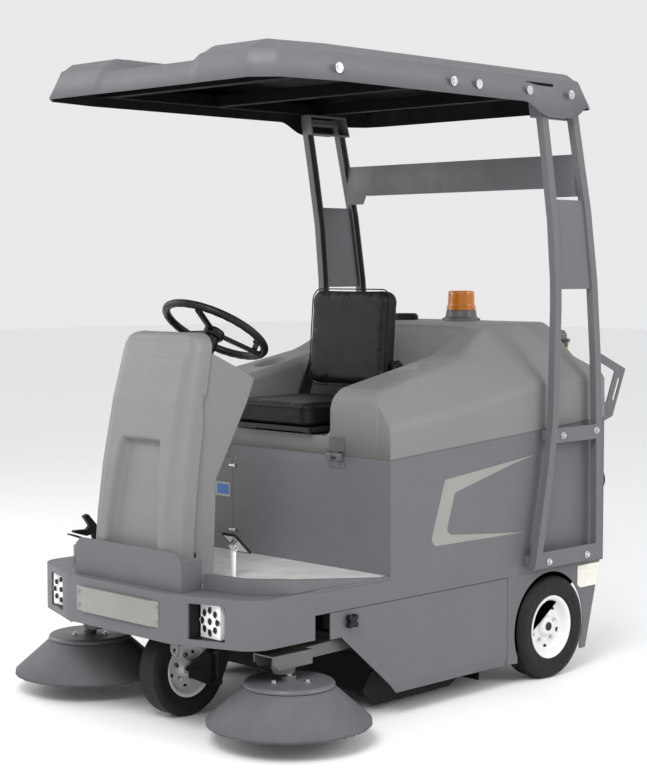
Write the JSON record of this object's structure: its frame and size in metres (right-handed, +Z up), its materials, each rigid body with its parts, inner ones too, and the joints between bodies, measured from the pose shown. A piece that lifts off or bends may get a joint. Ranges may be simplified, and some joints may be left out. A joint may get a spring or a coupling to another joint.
{
  "type": "ride-on sweeper",
  "caption": "Ride-on floor sweeper with a roofed seat, side brooms under a round-cornered bumper, a steering console and a lift-up body cover",
  "frame": {"origin": "on the floor, under the middle of the machine's overall box", "axes": "+Z up, the front faces -Y, +X to the machine's left side (the driver's left hand)"},
  "size_m": [1.458, 1.985, 2.06],
  "materials": {
    "blue_panel": "satin powder coat",
    "grey_plastic": "fine grained moulding",
    "dark_grey_plastic": "smooth moulding",
    "black_steel": "satin black paint",
    "black_plastic": "fine grained moulding",
    "black_vinyl": "soft grained vinyl",
    "tyre_rubber": "worn rubber",
    "black_rubber": "matt rubber",
    "white_rim": "smooth moulding",
    "bright_steel": "bright, brushed",
    "checker_aluminium": "bright tread plate",
    "bristle_grey": "nylon bristles",
    "red_plastic": "smooth moulding",
    "amber_lens": "clear amber moulding",
    "lamp_housing": "moulded",
    "lamp_white": "frosted light plate",
    "cream_reflector": "prismatic moulding"
  },
  "bodies": {
    "machine": {"chassis_frame": "black_steel", "drive_axle": "black_steel", "brush_housing": "black_steel", "brush_motor": "black_steel", "rubber_skirts": "black_rubber", "drive_belt": "black_rubber", "battery_pack": "black_plastic", "filter_box": "black_plastic", "suction_fan": "black_plastic", "body_panels": "blue_panel", "front_panel": "blue_panel", "side_rails": "blue_panel", "wheel_arches": "blue_panel", "side_reflectors": "cream_reflector", "front_bumper": "blue_panel", "headlights": "lamp_housing", "lamp_plates": "lamp_white", "bumper_cover_plate": "blue_panel", "platform": "blue_panel", "floor_tread": "checker_aluminium", "console_front": "grey_plastic", "console_rear": "grey_plastic", "steering_column": "black_plastic", "tool_clamp": "black_plastic", "post_frames": "blue_panel", "canopy": "dark_grey_plastic", "canopy_frame": "black_steel", "fasteners": "bright_steel"},
    "fork": {"steer_fork": "black_steel"},
    "front_arm": {"trailing_arm": "black_steel"},
    "front_wheel": {"front_tyre": "tyre_rubber", "front_rim": "white_rim"},
    "rear_wheel_left": {"rear_tyre_left": "tyre_rubber", "rear_rim_left": "white_rim"},
    "rear_wheel_right": {"rear_tyre_right": "tyre_rubber", "rear_rim_right": "white_rim"},
    "hand_wheel": {"steering_wheel": "black_plastic"},
    "hand_wheel_knob": {"spinner_knob": "black_plastic"},
    "pedal": {"accelerator_pedal": "bright_steel"},
    "cover": {"tank_cover": "grey_plastic", "cover_hardware": "black_steel", "beacon_lens": "amber_lens", "rear_hanger": "blue_panel"},
    "cap": {"filler_cap": "black_plastic"},
    "seat": {"seat_pan": "black_steel", "seat_cushion": "black_vinyl"},
    "seat_back": {"seat_backrest": "black_vinyl"},
    "hatch": {"access_hatch": "blue_panel"},
    "door_left": {"side_door_left": "blue_panel"},
    "door_knob_left": {"star_knob_left": "black_plastic"},
    "door_right": {"side_door_right": "blue_panel"},
    "door_knob_right": {"star_knob_right": "black_plastic"},
    "bin": {"dust_bin": "black_plastic"},
    "brush": {"main_brush": "bristle_grey"},
    "pulley": {"motor_pulley": "bright_steel"},
    "arm_left": {"broom_arm_left": "black_steel"},
    "broom_left": {"side_broom_left": "bristle_grey"},
    "arm_right": {"broom_arm_right": "black_steel"},
    "broom_right": {"side_broom_right": "bristle_grey"},
    "lever": {"clamp_lever": "red_plastic"}
  },
  "joints": [
    {"name": "front_steer", "type": "hinge", "parent": "machine", "child": "fork", "pos_m": [0, -0.6775, 0.35], "axis": [0, 0, 1], "range_deg": [-45, 45]},
    {"name": "front_arm_swing", "type": "hinge", "parent": "fork", "child": "front_arm", "pos_m": [0, -0.5645, 0.24], "axis": [-1, 0, 0], "range_deg": [0, 5], "stiffness_Nm_per_rad": 3000, "springref_deg": -8.59},
    {"name": "front_wheel_spin", "type": "hinge", "parent": "front_arm", "child": "front_wheel", "pos_m": [0, -0.7235, 0.1495], "axis": [1, 0, 0], "continuous": true},
    {"name": "rear_left_spin", "type": "hinge", "parent": "machine", "child": "rear_wheel_left", "pos_m": [0.48, 0.4875, 0.176], "axis": [1, 0, 0], "continuous": true},
    {"name": "rear_right_spin", "type": "hinge", "parent": "machine", "child": "rear_wheel_right", "pos_m": [-0.48, 0.4875, 0.176], "axis": [1, 0, 0], "continuous": true},
    {"name": "hand_wheel_turn", "type": "hinge", "parent": "machine", "child": "hand_wheel", "pos_m": [0, -0.5815, 1.207], "axis": [0, 0.5195, 0.8545], "range_deg": [-135, 135]},
    {"name": "knob_spin", "type": "hinge", "parent": "hand_wheel", "child": "hand_wheel_knob", "pos_m": [0.07915, -0.48491, 1.14827], "axis": [0, 0.5195, 0.8545], "continuous": true},
    {"name": "pedal_press", "type": "hinge", "parent": "machine", "child": "pedal", "pos_m": [0.168, -0.6585, 0.54], "axis": [1, 0, 0], "range_deg": [0, 10], "stiffness_Nm_per_rad": 4, "springref_deg": -14.32},
    {"name": "cover_lift", "type": "hinge", "parent": "machine", "child": "cover", "pos_m": [0, -0.3295, 0.812], "axis": [1, 0, 0], "range_deg": [0, 25]},
    {"name": "cap_turn", "type": "hinge", "parent": "cover", "child": "cap", "pos_m": [-0.2, 0.5325, 1.22], "axis": [0, 0, 1], "range_deg": [0, 90]},
    {"name": "seat_slide", "type": "slide", "parent": "cover", "child": "seat", "axis": [0, 1, 0], "range_m": [-0.03, 0.03]},
    {"name": "seat_back_fold", "type": "hinge", "parent": "seat", "child": "seat_back", "pos_m": [0, 0.0515, 1.078], "axis": [1, 0, 0], "range_deg": [0, 55]},
    {"name": "hatch_swing", "type": "hinge", "parent": "machine", "child": "hatch", "pos_m": [-0.4735, -0.3215, 0.64], "axis": [0, 0, -1], "range_deg": [0, 100]},
    {"name": "door_left_swing", "type": "hinge", "parent": "machine", "child": "door_left", "pos_m": [0.508, 0.2543, 0.24], "axis": [0, 0, 1], "range_deg": [0, 90]},
    {"name": "door_knob_left_turn", "type": "hinge", "parent": "door_left", "child": "door_knob_left", "pos_m": [0.51, -0.4985, 0.339], "axis": [1, 0, 0], "continuous": true},
    {"name": "door_right_swing", "type": "hinge", "parent": "machine", "child": "door_right", "pos_m": [-0.508, 0.2543, 0.24], "axis": [0, 0, -1], "range_deg": [0, 90]},
    {"name": "door_knob_right_turn", "type": "hinge", "parent": "door_right", "child": "door_knob_right", "pos_m": [-0.51, -0.4985, 0.339], "axis": [1, 0, 0], "continuous": true},
    {"name": "bin_slide", "type": "slide", "parent": "machine", "child": "bin", "axis": [0, 1, 0], "range_m": [0, 0.45]},
    {"name": "brush_spin", "type": "hinge", "parent": "machine", "child": "brush", "pos_m": [0, -0.0175, 0.152], "axis": [1, 0, 0], "continuous": true},
    {"name": "pulley_spin", "type": "hinge", "parent": "machine", "child": "pulley", "pos_m": [-0.4, -0.2125, 0.285], "axis": [1, 0, 0], "continuous": true},
    {"name": "arm_left_lift", "type": "hinge", "parent": "machine", "child": "arm_left", "pos_m": [0.46, -0.4175, 0.262], "axis": [-1, 0, 0], "range_deg": [0, 6]},
    {"name": "broom_left_spin", "type": "hinge", "parent": "arm_left", "child": "broom_left", "pos_m": [0.479, -0.7205, 0.2], "axis": [0, 0, 1], "continuous": true},
    {"name": "arm_right_lift", "type": "hinge", "parent": "machine", "child": "arm_right", "pos_m": [-0.46, -0.4175, 0.262], "axis": [-1, 0, 0], "range_deg": [0, 6]},
    {"name": "broom_right_spin", "type": "hinge", "parent": "arm_right", "child": "broom_right", "pos_m": [-0.479, -0.7205, 0.2], "axis": [0, 0, 1], "continuous": true},
    {"name": "lever_flip", "type": "hinge", "parent": "machine", "child": "lever", "pos_m": [-0.345, -0.7785, 0.552], "axis": [1, 0, 0], "range_deg": [0, 30]}
  ],
  "couplings": [
    {"joint": "hand_wheel_turn", "follows": "front_steer", "ratio": 3},
    {"joint": "pulley_spin", "follows": "brush_spin", "ratio": 1.7143}
  ]
}
